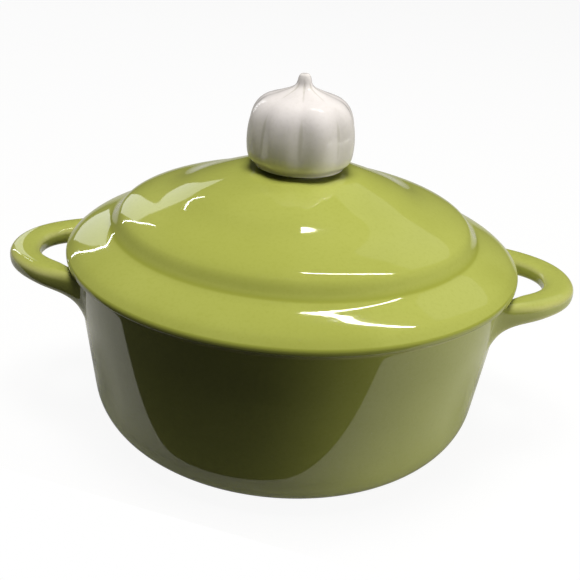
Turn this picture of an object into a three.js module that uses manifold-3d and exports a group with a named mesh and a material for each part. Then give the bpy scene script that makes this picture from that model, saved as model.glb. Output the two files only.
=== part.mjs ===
// Covered baking dish: a round, tapered stoneware dish with two ear handles, and a
// stepped lid whose knob is a white garlic bulb, screwed on from below.
// Millimetres, Z up. The dish stands on Z = 0 and its handles lie along X.
import * as THREE from 'three';
import { mergeVertices } from 'three/addons/utils/BufferGeometryUtils.js';
import Module from 'manifold-3d';

const wasm = await Module();
wasm.setup();

// Dish
const rimRadius = 106; // outside of the rim
const dishHeight = 90; // table to the top of the rim
const wallTaper = 12.4; // the wall leans in by this much from rim to table
const cornerRadius = 26.5; // big round between the wall and the base
const wallThickness = 7;
const floorThickness = 8;
const footWidth = 9; // flat unglazed ring that the dish stands on
const footDepth = 2; // hollow inside that ring
const rimRound = 2.6;
const footRound = 1.2;

// Lid
const lidOverhang = 4; // brim past the rim
const lidRise = 43.5; // knob seat above the underside of the brim
const lidThickness = 6.5;
const brimRound = 1.6; // rounded lower edge of the brim
const ringDepth = 9; // locating ring that drops into the dish
const ringWidth = 6;
const ringRound = 2;
const ringClearance = 2; // between that ring and the inside of the wall
const screwBossRadius = 12; // flat under the knob seat, for the screw

// The lid's top outline, from the brim in to the knob seat. Radius and height are
// shares of the lid's own radius and rise, and slope is the fall of one over the other.
const lidOutline = [
  { radius: 0.99, height: 0.075, slope: -3.03 }, // end of the brim
  { radius: 0.939, height: 0.178, slope: -1.365 }, // crown of the brim
  { radius: 0.887, height: 0.241, slope: -1.125 },
  { radius: 0.853, height: 0.279, slope: -1.075 }, // valley
  { radius: 0.811, height: 0.333, slope: -1.67 },
  { radius: 0.783, height: 0.4156, slope: -4.1 }, // steep foot of the dome
  { radius: 0.7545, height: 0.4995, slope: -1.72 },
  { radius: 0.722, height: 0.545, slope: -1.163 }, // shoulder of the dome
  { radius: 0.609, height: 0.638, slope: -0.657 }, // dip in the slope
  { radius: 0.4955, height: 0.747, slope: -1.29 }, // upper step
  { radius: 0.427, height: 0.826, slope: -1.01 },
  { radius: 0.24, height: 1, slope: -0.86 }, // knob seat
];

// Ear handles
const handleDrop = 7.5; // centre of the bar below the top of the rim
const handleReach = 26; // centre of the bar past the rim at the tip
const handleRootOffset = 43; // half the distance between the two roots
const handleRootInset = 24; // the bar starts this far inside the rim and is cut to the wall
const handleBendIn = 12; // the arms close in by this much as they leave the wall
const handleBendOut = 2; // and the bend lies this far past the rim
const handleCornerOffset = 27; // squareness of the tip
const barWidth = 14.8;
const barThickness = 9.4;
const barRoundness = 0.8; // 1 makes the bar's section an oval, and less makes it squarer
const rootSpread = 5; // extra width where the bar meets the wall
const rootDepth = 12; // extra thickness there, all of it on the underside
const flareSharpness = 3.5; // how late along the arm the root starts to swell

// Knob: a garlic bulb
const knobRadius = 26.4; // widest part of the bulb
const knobHeight = 43.5; // base to the tip of the stalk
const knobBaseRadius = 21.5;
const stalkRadius = 2.4;
const cloveCount = 8;
const cloveDepth = 1.3; // depth of the creases between the cloves
const creaseTop = 0.91; // the creases fade out at this share of the height

// The bulb's outline from its base to its stalk, as shares of its radius and height.
const bulbOutline = [
  { radius: 0.965, height: 0.13 },
  { radius: 1, height: 0.36 },
  { radius: 0.93, height: 0.58 },
  { radius: 0.74, height: 0.72 }, // shoulder
  { radius: 0.43, height: 0.795 },
  { radius: 0.158, height: 0.87 }, // foot of the stalk
];

// Knob fixing: a screw through the lid into an insert cemented in the knob
const screwRadius = 2.5;
const screwHeadRadius = 4.8;
const screwHeadHeight = 3;
const screwHeadRound = 1;
const screwSlotWidth = 1.2;
const screwSlotDepth = 1.4;
const washerRadius = 7.5;
const washerThickness = 1;
const sealRadius = 15;
const sealThickness = 1;
const insertRadius = 4.2;
const insertLength = 14;
const screwGrip = 11; // length of screw inside the insert
const screwHoleSpare = 0.7; // radial room round the screw in the lid and the seal

// Fits and facets
const fitGap = 0.3; // between touching pieces
const weldDistance = 1e-4;
const shareMargin = 1e-9;
const roundSegments = 60;
const smallSegments = 20;
const knobSegments = cloveCount * 6;
const cornerSteps = 7;
const edgeSteps = 3;
const footSteps = 2;
const lidSpanSteps = 2;
const lidUnderSteps = 8;
const handleSteps = 36;
const handleSides = 14;
const bulbSteps = 16;

// Derived sizes that more than one piece shares
const wallLean = wallTaper / dishHeight;
const lidRadius = rimRadius + lidOverhang;
const lidBase = dishHeight + fitGap;
const seatHeight = lidBase + lidRise;
const seatRadius = lidRadius * lidOutline.at(-1).radius;
const boreRadius = screwRadius + screwHoleSpare;
const lidUnderSeat = seatHeight - lidThickness;
const knobBase = seatHeight + sealThickness + 2 * fitGap;
const washerTop = lidUnderSeat - fitGap;
const screwHeadTop = washerTop - washerThickness - fitGap;
const screwTip = knobBase + screwGrip;
const ringOuterRadius = rimRadius - wallThickness - wallLean * ringDepth - ringClearance;
const ringInnerRadius = ringOuterRadius - ringWidth;

function point(x, y) {
  return new THREE.Vector2(x, y);
}

// Outer radius of the straight wall at a height above the table.
function wallRadius(height) {
  return rimRadius - wallLean * (dishHeight - height);
}

// Outline through corners [radius, height, round, steps]; a corner with no round stays sharp.
function roundedOutline(corners) {
  const outline = [];
  corners.forEach(([x, y, round, steps], index) => {
    const corner = point(x, y);
    if (!round) {
      outline.push(corner);
      return;
    }
    const before = point(...corners[index - 1].slice(0, 2)).sub(corner).normalize();
    const after = point(...corners[index + 1].slice(0, 2)).sub(corner).normalize();
    const half = Math.acos(before.dot(after)) / 2;
    const centre = before.clone().add(after).setLength(round / Math.sin(half)).add(corner);
    const start = before.multiplyScalar(round / Math.tan(half)).add(corner).sub(centre);
    const turn = Math.PI - 2 * half;
    const side = Math.sign(start.cross(point(x, y).sub(centre)));
    for (let step = 0; step <= steps; step += 1) {
      const angle = start.angle() + (side * turn * step) / steps;
      outline.push(point(Math.cos(angle), Math.sin(angle)).multiplyScalar(round).add(centre));
    }
  });
  return outline;
}

// A solid turned about the Z axis. The outline runs anticlockwise in radius and height.
function turned(outline, segments) {
  const geometry = new THREE.LatheGeometry(outline, segments);
  geometry.rotateX(Math.PI / 2);
  return welded(geometry);
}

// The outline closed on itself, for a piece with a hole through its middle.
function ringOutline(outline) {
  return [...outline, outline[0].clone()];
}

// One vertex for each place, and no triangle that has shrunk to a line.
function welded(geometry) {
  geometry.deleteAttribute('normal');
  geometry.deleteAttribute('uv');
  const merged = mergeVertices(geometry, weldDistance);
  const corners = merged.index.array;
  const kept = [];
  for (let i = 0; i < corners.length; i += 3) {
    const [a, b, c] = corners.slice(i, i + 3);
    if (a !== b && b !== c && c !== a) {
      kept.push(a, b, c);
    }
  }
  merged.setIndex(kept);
  return merged;
}

function solid(geometry) {
  return new wasm.Manifold(
    new wasm.Mesh({
      numProp: 3,
      vertProperties: geometry.attributes.position.array,
      triVerts: new Uint32Array(geometry.index.array),
    }),
  );
}

function cut(geometry, tool) {
  const result = solid(geometry).subtract(solid(tool)).getMesh();
  const left = new THREE.BufferGeometry();
  left.setAttribute('position', new THREE.BufferAttribute(result.vertProperties, 3));
  left.setIndex(new THREE.BufferAttribute(result.triVerts, 1));
  return left;
}

// Skin over a row of closed rings with the same number of points, with both ends capped.
function lofted(rings) {
  const count = rings[0].length;
  const places = rings.flat();
  const faces = [];
  for (let ring = 0; ring + 1 < rings.length; ring += 1) {
    for (let i = 0; i < count; i += 1) {
      const a = ring * count + i;
      const b = ring * count + ((i + 1) % count);
      faces.push(a, b, a + count, b, b + count, a + count);
    }
  }
  const last = places.length - count;
  for (let i = 1; i + 1 < count; i += 1) {
    faces.push(0, i + 1, i, last, last + i, last + i + 1);
  }
  const geometry = new THREE.BufferGeometry().setFromPoints(places);
  geometry.setIndex(faces);
  return geometry;
}

// Height and slope of the lid's top at a radius, on a smooth curve through lidOutline.
function lidTop(radius) {
  const share = radius / lidRadius;
  const inner = lidOutline.findIndex((station) => station.radius <= share + shareMargin);
  const from = lidOutline[Math.max(inner, 1)];
  const to = lidOutline[Math.max(inner, 1) - 1];
  const span = to.radius - from.radius;
  const t = (share - from.radius) / span;
  const height =
    from.height * (1 + 2 * t) * (1 - t) ** 2 +
    to.height * t * t * (3 - 2 * t) +
    span * t * (1 - t) * (from.slope * (1 - t) - to.slope * t);
  const slope =
    (6 * t * (1 - t) * (to.height - from.height)) / span +
    from.slope * (1 - t) * (1 - 3 * t) +
    to.slope * t * (3 * t - 2);
  return { height: lidBase + height * lidRise, slope: (slope * lidRise) / lidRadius };
}

// Height of the lid's underside: the top less the thickness measured square to it.
function lidUnder(radius) {
  const top = radius < seatRadius ? { height: seatHeight, slope: 0 } : lidTop(radius);
  return top.height - lidThickness * Math.hypot(1, top.slope);
}

function dishGeometry() {
  const baseRadius = wallRadius(0);
  const cornerAngle = Math.PI / 2 + Math.atan(wallLean);
  const flatRadius = baseRadius - cornerRadius / Math.tan(cornerAngle / 2);
  const footRadius = flatRadius - footWidth;
  const insideCorner = wallRadius(floorThickness) - wallThickness;
  return turned(
    roundedOutline([
      [0, footDepth],
      [footRadius - footDepth, footDepth, footRound, footSteps],
      [footRadius, 0, footRound, footSteps],
      [baseRadius, 0, cornerRadius, cornerSteps],
      [rimRadius, dishHeight, rimRound, edgeSteps],
      [rimRadius - wallThickness, dishHeight, rimRound, edgeSteps],
      [insideCorner, floorThickness, cornerRadius - wallThickness, cornerSteps],
      [0, floorThickness],
    ]),
    roundSegments,
  );
}

function lidGeometry() {
  const brimEnd = lidOutline[0];
  const brimEndRadius = brimEnd.radius * lidRadius;
  const brimFall = -brimEnd.slope * (lidRise / lidRadius);
  const brimCorner = brimEndRadius + (brimEnd.height * lidRise) / brimFall;
  const ringFoot = lidBase - ringDepth;
  const domeEdge = ringInnerRadius - ringRound;

  const top = [];
  lidOutline.slice(0, -1).forEach((outer, index) => {
    const inner = lidOutline[index + 1];
    for (let step = 0; step < lidSpanSteps; step += 1) {
      const share = THREE.MathUtils.lerp(outer.radius, inner.radius, step / lidSpanSteps);
      top.push(point(share * lidRadius, lidTop(share * lidRadius).height));
    }
  });
  const dome = [];
  for (let step = 0; step <= lidUnderSteps; step += 1) {
    const radius = THREE.MathUtils.lerp(screwBossRadius, domeEdge, step / lidUnderSteps);
    dome.push(point(radius, lidUnder(radius)));
  }
  const edge = roundedOutline([
    [domeEdge, lidUnder(domeEdge)],
    [ringInnerRadius, ringFoot, ringRound, edgeSteps],
    [ringOuterRadius, ringFoot, ringRound, edgeSteps],
    [ringOuterRadius, lidBase],
    [brimCorner, lidBase, brimRound, edgeSteps],
    [brimEndRadius, lidTop(brimEndRadius).height],
  ]);
  return turned(
    ringOutline([
      point(boreRadius, lidUnderSeat),
      ...dome,
      ...edge.slice(1, -1),
      ...top,
      point(seatRadius, seatHeight),
      point(boreRadius, seatHeight),
    ]),
    roundSegments,
  );
}

// Part of a section's half width or height, pushed out towards the section's corners.
function squarer(value) {
  return Math.sign(value) * Math.abs(value) ** barRoundness;
}

// Ear handle on the +X side: a flat rounded bar that bends out and back, deeper at its roots,
// and cut to the wall.
function handleGeometry() {
  const level = dishHeight - handleDrop;
  const tip = rimRadius + handleReach;
  const arm = (side) => [
    new THREE.Vector3(rimRadius - handleRootInset, side * handleRootOffset, level),
    new THREE.Vector3(rimRadius + handleBendOut, side * (handleRootOffset - handleBendIn), level),
    new THREE.Vector3(tip, side * handleCornerOffset, level),
    new THREE.Vector3(tip, 0, level),
  ];
  const centre = new THREE.CurvePath();
  centre.add(new THREE.CubicBezierCurve3(...arm(-1)));
  centre.add(new THREE.CubicBezierCurve3(...arm(1).reverse()));

  const up = new THREE.Vector3(0, 0, 1);
  const rings = [];
  for (let step = 0; step <= handleSteps; step += 1) {
    const share = step / handleSteps;
    const middle = centre.getPointAt(share);
    const across = up.clone().cross(centre.getTangentAt(share));
    const flare = Math.abs(2 * share - 1) ** flareSharpness;
    const halfWidth = (barWidth + rootSpread * flare) / 2;
    const halfHeight = (barThickness + rootDepth * flare) / 2;
    middle.z -= (rootDepth * flare) / 2;
    const ring = [];
    for (let i = 0; i < handleSides; i += 1) {
      const angle = (2 * Math.PI * i) / handleSides;
      ring.push(
        middle
          .clone()
          .addScaledVector(across, halfWidth * squarer(Math.cos(angle)))
          .addScaledVector(up, halfHeight * squarer(Math.sin(angle))),
      );
    }
    rings.push(ring);
  }
  const wall = turned(
    [
      point(0, 0),
      point(wallRadius(0) + fitGap, 0),
      point(rimRadius + fitGap, dishHeight),
      point(0, dishHeight),
    ],
    roundSegments,
  );
  return cut(lofted(rings), wall);
}

// Garlic bulb: a turned bulb with a stalk, pressed in along the creases between its cloves.
// One crease faces the front.
function knobGeometry() {
  const hole = insertRadius + fitGap;
  const holeTop = insertLength + fitGap;
  const bulb = new THREE.SplineCurve([
    point(knobBaseRadius, 0),
    ...bulbOutline.map(({ radius, height }) => point(radius * knobRadius, height * knobHeight)),
    point(stalkRadius, knobHeight - stalkRadius / 2),
  ]);
  const geometry = new THREE.LatheGeometry(
    [
      point(0, holeTop),
      point(hole, holeTop),
      point(hole, 0),
      ...bulb.getPoints(bulbSteps),
      point(stalkRadius / 2, knobHeight),
      point(0, knobHeight),
    ],
    knobSegments,
  );
  geometry.rotateX(Math.PI / 2);
  const places = geometry.attributes.position;
  for (let i = 0; i < places.count; i += 1) {
    const radius = Math.hypot(places.getX(i), places.getY(i));
    if (radius > hole + fitGap) {
      const turn = (Math.atan2(places.getY(i), places.getX(i)) / (2 * Math.PI)) * cloveCount;
      const fromMiddle = 1 - 2 * Math.abs(turn - Math.round(turn));
      const rise = places.getZ(i) / knobHeight;
      const fade = Math.sin(Math.PI * Math.min(1, rise / creaseTop));
      const crease = cloveDepth * fade * (1 - Math.cos((fromMiddle * Math.PI) / 2));
      const shrink = (radius - crease) / radius;
      places.setX(i, places.getX(i) * shrink);
      places.setY(i, places.getY(i) * shrink);
    }
  }
  return welded(geometry);
}

function washerGeometry(innerRadius, outerRadius, thickness) {
  return turned(
    ringOutline([
      point(innerRadius, 0),
      point(outerRadius, 0),
      point(outerRadius, thickness),
      point(innerRadius, thickness),
    ]),
    smallSegments,
  );
}

function screwGeometry() {
  const shaft = turned(
    roundedOutline([
      [0, -screwHeadHeight],
      [screwHeadRadius, -screwHeadHeight, screwHeadRound, footSteps],
      [screwHeadRadius, 0],
      [screwRadius, 0],
      [screwRadius, screwTip - screwHeadTop],
      [0, screwTip - screwHeadTop],
    ]),
    smallSegments,
  );
  const slot = new THREE.BoxGeometry(4 * screwHeadRadius, screwSlotWidth, 2 * screwSlotDepth);
  slot.translate(0, 0, -screwHeadHeight);
  return cut(shaft, welded(slot));
}

function material(color, roughness, metalness) {
  return new THREE.MeshStandardMaterial({ color, roughness, metalness });
}

function piece(name, geometry, look, height) {
  const mesh = new THREE.Mesh(geometry, look);
  mesh.name = name;
  mesh.position.z = height;
  return mesh;
}

const greenGlaze = () => material(0xa9af4c, 0.12, 0);
const dish = new THREE.Group();
const rightHandle = piece('right_handle', handleGeometry(), greenGlaze(), 0);
const leftHandle = piece('left_handle', handleGeometry(), greenGlaze(), 0);
leftHandle.rotation.z = Math.PI;
dish.add(piece('dish_body', dishGeometry(), greenGlaze(), 0), leftHandle, rightHandle);

const lid = new THREE.Group();
lid.add(
  piece('lid_shell', lidGeometry(), greenGlaze(), 0),
  piece('garlic_knob', knobGeometry(), material(0xe9e3de, 0.15, 0), knobBase),
  piece(
    'knob_insert',
    washerGeometry(screwRadius + fitGap, insertRadius, insertLength),
    material(0xb59a55, 0.35, 1),
    knobBase,
  ),
  piece(
    'knob_seal',
    washerGeometry(boreRadius, sealRadius, sealThickness),
    material(0xdcdad2, 0.6, 0),
    seatHeight + fitGap,
  ),
  piece(
    'screw_washer',
    washerGeometry(boreRadius, washerRadius, washerThickness),
    material(0xb8bab8, 0.3, 1),
    washerTop - washerThickness,
  ),
  piece('knob_screw', screwGeometry(), material(0xb8bab8, 0.3, 1), screwHeadTop),
);

const coveredDish = new THREE.Group();
coveredDish.add(dish, lid);

export default coveredDish;
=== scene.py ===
"""Covered baking dish: green glazed dish and lid, with a white garlic bulb for a knob."""
import math

import bmesh
import bpy
from bpy.props import FloatProperty, FloatVectorProperty, IntProperty, PointerProperty
from mathutils import Matrix, Vector


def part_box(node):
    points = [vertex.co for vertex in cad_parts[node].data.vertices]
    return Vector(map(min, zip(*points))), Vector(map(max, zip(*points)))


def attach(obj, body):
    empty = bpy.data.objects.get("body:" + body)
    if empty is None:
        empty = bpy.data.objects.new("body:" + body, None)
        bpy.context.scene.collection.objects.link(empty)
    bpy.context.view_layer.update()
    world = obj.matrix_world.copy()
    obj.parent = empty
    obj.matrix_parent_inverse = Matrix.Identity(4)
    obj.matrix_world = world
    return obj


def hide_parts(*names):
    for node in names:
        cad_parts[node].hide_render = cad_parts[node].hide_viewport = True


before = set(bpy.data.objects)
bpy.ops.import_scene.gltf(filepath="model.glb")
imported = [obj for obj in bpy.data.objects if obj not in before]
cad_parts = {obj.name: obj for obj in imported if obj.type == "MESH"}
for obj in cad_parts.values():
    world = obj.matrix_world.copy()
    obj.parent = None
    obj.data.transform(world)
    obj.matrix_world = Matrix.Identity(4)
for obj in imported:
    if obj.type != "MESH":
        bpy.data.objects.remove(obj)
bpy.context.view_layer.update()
_, DISH_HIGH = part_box("dish_body")
LID_LOW, LID_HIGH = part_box("lid_shell")
KNOB_LOW, KNOB_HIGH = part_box("garlic_knob")
SEAL_LOW, SEAL_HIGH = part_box("knob_seal")
WASHER_LOW, WASHER_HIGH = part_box("screw_washer")
SCREW_LOW, SCREW_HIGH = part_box("knob_screw")

bl_info = {
    "name": "Covered Baking Dish",
    "version": (1, 0, 0),
    "blender": (4, 5, 0),
    "location": "View3D > Sidebar > Baking Dish",
    "description": "Models a glazed baking dish with ear handles and a lid with a garlic knob",
    "category": "Add Mesh",
}

MM = 0.001
WELD = 0.004 * MM  # places nearer than this are one place
EDGE_SPAN = 6 * MM  # the glaze thins or pools over about this length

# Faces round each turned piece.
DISH_FACES = 96
RING_FACES = 72
SCREW_FACES = 48
CLOVE_FACES = 8
GUIDE_FACES = 360

# Longest face along each outline.
DISH_STEP = 6 * MM
LID_STEP = 5 * MM
KNOB_STEP = 4 * MM
GUIDE_STEP = 2 * MM

# Lid outline from the brim to the knob seat: shares of the lid's radius and rise, and slope.
LID_OUTLINE = (
    (0.975, 0.1149, -2.319),  # end of the brim
    (0.939, 0.178, -1.365),  # crown of the brim
    (0.887, 0.241, -1.125),
    (0.853, 0.279, -1.075),  # valley
    (0.811, 0.333, -1.67),
    (0.783, 0.4156, -4.1),  # steep foot of the dome
    (0.7545, 0.4995, -1.72),
    (0.722, 0.545, -1.163),  # shoulder of the dome
    (0.609, 0.638, -0.657),  # dip in the slope
    (0.4955, 0.747, -1.29),  # upper step
    (0.427, 0.826, -1.01),
    (0.24, 1.0, -0.86),  # knob seat
)
BRIM_INSET = 0.35 * MM  # the lip's face inside the lid's full radius
BRIM_LOWER, BRIM_UPPER = 0.7, 1.6  # rounds of the lip's two edges, as shares of the brim's round
RING_FILLET = 0.8 * MM  # round between the locating ring and the brim
BORE_CHAMFER = 0.4 * MM

# Rings of a handle's root: distance from the wall, share of the fillet, and how closely it follows the wall.
ROOT_RINGS = (
    (0, 1.35, 1.0),
    (0.12 * MM, 0.95, 1.0),
    (1.6 * MM, 0.55, 0.95),
    (3.6 * MM, 0.28, 0.85),
    (6.6 * MM, 0.1, 0.6),
    (10.8 * MM, 0.025, 0.3),
    (16 * MM, 0, 0),
)
ROOT_LIFT = 0.7  # height of those rings off the wall, as a share of their distance along the bar
ROOT_SINK = 0.2 * MM  # how deep the bar's end sits in the wall
ROOT_CREASE = 0.7  # sharpness of the line where the root meets the wall
ROOT_FLARE = 3.5  # how late the bar widens towards its roots
FILLET_SIDES, FILLET_TOP, FILLET_UNDER = 4.2, 0.1, 3.3  # spread of the fillet to each side
BAR_RINGS = 13
BAR_ROUND = 0.36  # round of the bar's corners, as a share of its width

# Garlic outline from the base to the stalk: shares of the bulb's radius and height.
BULB_OUTLINE = (
    (0.965, 0.13),
    (1.0, 0.36),
    (0.93, 0.58),
    (0.74, 0.72),
    (0.43, 0.795),
    (0.175, 0.865),
)
# Rounded edge of the bulb's base: distance past the base's radius, and height.
BULB_BASE = ((-0.9 * MM, 0), (-0.2 * MM, 0.15 * MM), (0.2 * MM, 0.7 * MM), (0.6 * MM, 1.6 * MM))
# Tip of the stalk: share of the stalk's radius, and depth below the tip.
STALK_TIP = ((0.8, 0.25 * MM), (0.45, 0), (0, 0.2 * MM))
HOLE_CHAMFER = 0.2 * MM
# Creases between the cloves: depth at each column away from the crease, then how they fade along the bulb.
CREASE_SHAPE = (1.0, 0.7, 0.33, 0.09)
CREASE_TOP, CREASE_MIDDLE = 0.93, 0.46
FADE_BELOW, FADE_ABOVE = 0.7, 1.3

# Fixed tones and strengths of the finishes.
WHITE = (1, 1, 1, 1)
DULL_METAL = (0.2, 0.19, 0.17, 1)
METAL_ROUGHNESS = 0.24
SANDY_CLAY = (0.42, 0.33, 0.24, 1)
CLAY_ROUGHNESS = 0.8
SEAL_EDGE = (0.8, 0.79, 0.75, 1)
SEAL_SHADE = (0.6, 0.58, 0.52, 1)
SEAL_ROUGHNESS = 0.35
GLAZE_IOR = 1.72
GLAZE_ROUGHNESS = 0.035
PAPER_FIBRE = (0.51, 0.505, 0.48, 1)
PAPER_WHITE = (0.97, 0.97, 0.97, 1)

# Pale table: width, place and turn in degrees.
TABLE_WIDTH = 1.6
TABLE_PLACE = (0, 0.893, -0.3 * MM)
TABLE_TURN = 18

WARM, COOL = (1.0, 0.98, 0.94), (0.95, 0.98, 1.0)
ROOM_LIGHT = 0.035
DISH_MIDDLE, LID_MIDDLE = (0, 0, 0.1), (0, 0, 0.11)

# Lamps: place, aim (None is straight down), width and height, power, tint, mirrored in the glaze, turn.
LAMPS = {
    "overhead": ((-0.01, -0.2, 1.35), DISH_MIDDLE, (0.5, 0.5), 16.6, WARM, False, 0),
    "side": ((1.2, -0.12, 0.22), DISH_MIDDLE, (0.4, 0.4), 6.0, WARM, False, 0),
    "strip": ((0.44, 0.335, 1.4), None, (0.76, 0.03), 2.7, WARM, True, 0),
    "window": ((-0.7, 1.21, 0.458), LID_MIDDLE, (0.33, 0.61), 0.7, COOL, True, 0),
    "far_window": ((0.707, 0.905, 1.07), LID_MIDDLE, (0.85, 0.6), 0.42, COOL, True, 0),
    "window_edge": ((-0.84, 1.015, 0.59), LID_MIDDLE, (0.014, 0.73), 0.6, COOL, True, 27),
}

# Camera: elevation, azimuth and roll in degrees; the lens and the picture's shift in pixels of its side.
CAMERA_ANGLES = (22.4, 0.3, 4.0)
CAMERA_DISTANCE = 0.5
CAMERA_AIM = (0, 0, 90 * MM)
PICTURE_SIDE, PICTURE_LENS, PICTURE_SHIFT = 580, 1010, (2.8, 37.6)
SENSOR_WIDTH = 36


def length(name, description, default):
    """A size in metres."""
    return FloatProperty(name=name, description=description, default=default, min=0.0, unit="LENGTH")


def colour(name, description, default):
    """A colour with its alpha."""
    return FloatVectorProperty(
        name=name, description=description, default=default, size=4, min=0.0, max=1.0, subtype="COLOR"
    )


class DishSizes(bpy.types.PropertyGroup):
    """Sizes of the dish."""

    rim_radius: length("Rim radius", "Outside of the rim", 106 * MM)
    height: length("Height", "Table to the top of the rim", DISH_HIGH.z)
    taper: length("Taper", "How far the wall leans in from rim to table", 12.4 * MM)
    corner: length("Corner", "Round between the wall and the base", 26.5 * MM)
    wall: length("Wall", "Thickness of the wall", 7 * MM)
    floor: length("Floor", "Thickness of the floor", 8 * MM)
    foot_width: length("Foot width", "Flat bare ring that the dish stands on", 9 * MM)
    foot_depth: length("Foot depth", "Hollow inside the foot ring", 2 * MM)
    rim_round: length("Rim round", "Round of the rim", 2.6 * MM)
    foot_round: length("Foot round", "Round of the foot ring", 1.2 * MM)


class HandleSizes(bpy.types.PropertyGroup):
    """Sizes of the ear handles."""

    drop: length("Drop", "Middle of the bar below the rim", 7.5 * MM)
    reach: length("Reach", "Middle of the bar past the rim at the tip", 26 * MM)
    root_offset: length("Root offset", "Half the distance between the roots", 43 * MM)
    root_inset: length("Root inset", "Start of the bar's line inside the rim", 24 * MM)
    bend_in: length("Bend in", "How far the arms close in as they leave the wall", 12 * MM)
    bend_out: length("Bend out", "Where that bend lies past the rim", 2 * MM)
    corner_offset: length("Corner offset", "Squareness of the tip", 25 * MM)
    bar_width: length("Bar width", "Width of the bar", 14.8 * MM)
    bar_thickness: length("Bar thickness", "Thickness of the bar", 9.4 * MM)
    root_spread: length("Root spread", "Extra width at the root", 5 * MM)
    root_depth: length("Root depth", "Extra depth at the root, on the underside", 12 * MM)
    fillet: length("Fillet", "Clay smoothed out over the wall round each root", 3.2 * MM)


class LidSizes(bpy.types.PropertyGroup):
    """Sizes of the lid."""

    radius: length("Radius", "Outside of the brim", 110 * MM)
    base: length("Base", "Underside of the brim above the table", DISH_HIGH.z + 0.3 * MM)
    top: length("Top", "Knob seat above the table", LID_HIGH.z)
    thickness: length("Thickness", "Thickness of the lid", 6.5 * MM)
    brim_round: length("Brim round", "Round of the brim's edges", 1.6 * MM)
    ring_foot: length("Ring foot", "Lowest edge of the locating ring above the table", LID_LOW.z)
    ring_width: length("Ring width", "Width of the locating ring", 6 * MM)
    ring_round: length("Ring round", "Round of the locating ring", 2 * MM)
    ring_clearance: length("Ring clearance", "Between that ring and the wall", 2 * MM)
    boss: length("Boss", "Radius of the flat under the knob seat", 12 * MM)
    bore: length("Bore", "Radius of the screw hole", 3.2 * MM)


class KnobSizes(bpy.types.PropertyGroup):
    """Sizes of the garlic knob and its fixing."""

    radius: length("Radius", "Widest part of the bulb", 26.4 * MM)
    height: length("Height", "Base to the tip of the stalk", KNOB_HIGH.z - KNOB_LOW.z)
    base: length("Base", "Underside of the bulb above the table", KNOB_LOW.z)
    base_radius: length("Base radius", "Radius of the bulb's base", 21.5 * MM)
    stalk: length("Stalk", "Radius of the stalk", 2.8 * MM)
    cloves: IntProperty(name="Cloves", description="Number of cloves", default=8, min=3)
    crease: length("Crease", "Depth of the creases between the cloves", 2.1 * MM)
    hole: length("Hole", "Radius of the hole for the insert", 4.5 * MM)
    hole_depth: length("Hole depth", "Depth of that hole", 14.3 * MM)
    seal_radius: length("Seal radius", "Radius of the soft seal", SEAL_HIGH.x)
    washer_radius: length("Washer radius", "Radius of the washer", WASHER_HIGH.x)
    screw_head: length("Screw head", "Radius of the screw's head", SCREW_HIGH.x)
    screw_head_height: length("Screw head height", "Height of the screw's head", 3 * MM)
    screw: length("Screw", "Radius of the screw's shank", 2.5 * MM)
    slot_width: length("Slot width", "Width of the screw's slot", 1.2 * MM)
    slot_depth: length("Slot depth", "Depth of the screw's slot", 1.4 * MM)


class Finishes(bpy.types.PropertyGroup):
    """Colours of the finishes and of the studio."""

    green: colour("Green glaze", "Olive green glaze", (0.45, 0.485, 0.105, 1))
    green_thin: colour("Thin green", "Where the green glaze breaks over an edge", (0.6, 0.6, 0.24, 1))
    # Also the lid's colour for bulging edges, where it is painted shade on the brim's lip.
    green_pool_and_lip_shade: colour("Pooled green", "Where the green glaze runs deep", (0.33, 0.36, 0.05, 1))
    white: colour("White glaze", "Warm white glaze of the bulb", (0.86, 0.82, 0.815, 1))
    white_thin: colour("Thin white", "Where the white glaze breaks over an edge", (0.88, 0.85, 0.83, 1))
    white_pool: colour("Pooled white", "Where the white glaze runs deep", (0.66, 0.63, 0.58, 1))
    clay: colour("Clay", "Bare stoneware of the foot ring", (0.56, 0.47, 0.36, 1))
    silicone: colour("Silicone", "Soft seal under the knob", (0.7, 0.69, 0.64, 1))
    brass: colour("Brass", "Insert in the knob", (0.56, 0.38, 0.13, 1))
    steel: colour("Steel", "Screw and washer", (0.52, 0.52, 0.51, 1))
    floor: colour("Floor", "Pale floor of the studio", (0.55, 0.545, 0.52, 1))


# Shaping


def clear_selection():
    """Leaves edit mode and deselects everything."""
    if bpy.context.object and bpy.context.object.mode != "OBJECT":
        bpy.ops.object.mode_set(mode="OBJECT")
    bpy.ops.object.select_all(action="DESELECT")


def begin(name):
    """Names the primitive that was just added and opens it in edit mode, selected all over."""
    piece = bpy.context.object
    piece.name = name
    piece.data.name = name
    bpy.ops.object.mode_set(mode="EDIT")
    bpy.ops.mesh.select_mode(type="VERT")
    bpy.ops.mesh.select_all(action="SELECT")
    return piece


def pick(piece, test):
    """Selects the points of the piece being edited whose place passes the test."""
    mesh = bmesh.from_edit_mesh(piece.data)
    bpy.ops.mesh.select_mode(type="VERT")
    for vertex in mesh.verts:
        vertex.select = test(vertex.co)
    mesh.select_flush_mode()
    bmesh.update_edit_mesh(piece.data)


def choose(piece):
    """Selects this piece alone and makes it the active one."""
    clear_selection()
    piece.select_set(True)
    bpy.context.view_layer.objects.active = piece


def finish_with(piece, kind, **settings):
    """Adds a modifier with these settings and applies it."""
    choose(piece)
    modifier = piece.modifiers.new(kind, kind)
    for name, value in settings.items():
        setattr(modifier, name, value)
    bpy.ops.object.modifier_apply(modifier=modifier.name)


def smooth(piece, levels):
    """Subdivides the piece and shades it smooth."""
    finish_with(piece, "SUBSURF", levels=levels, render_levels=levels)
    bpy.ops.object.shade_smooth()


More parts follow.
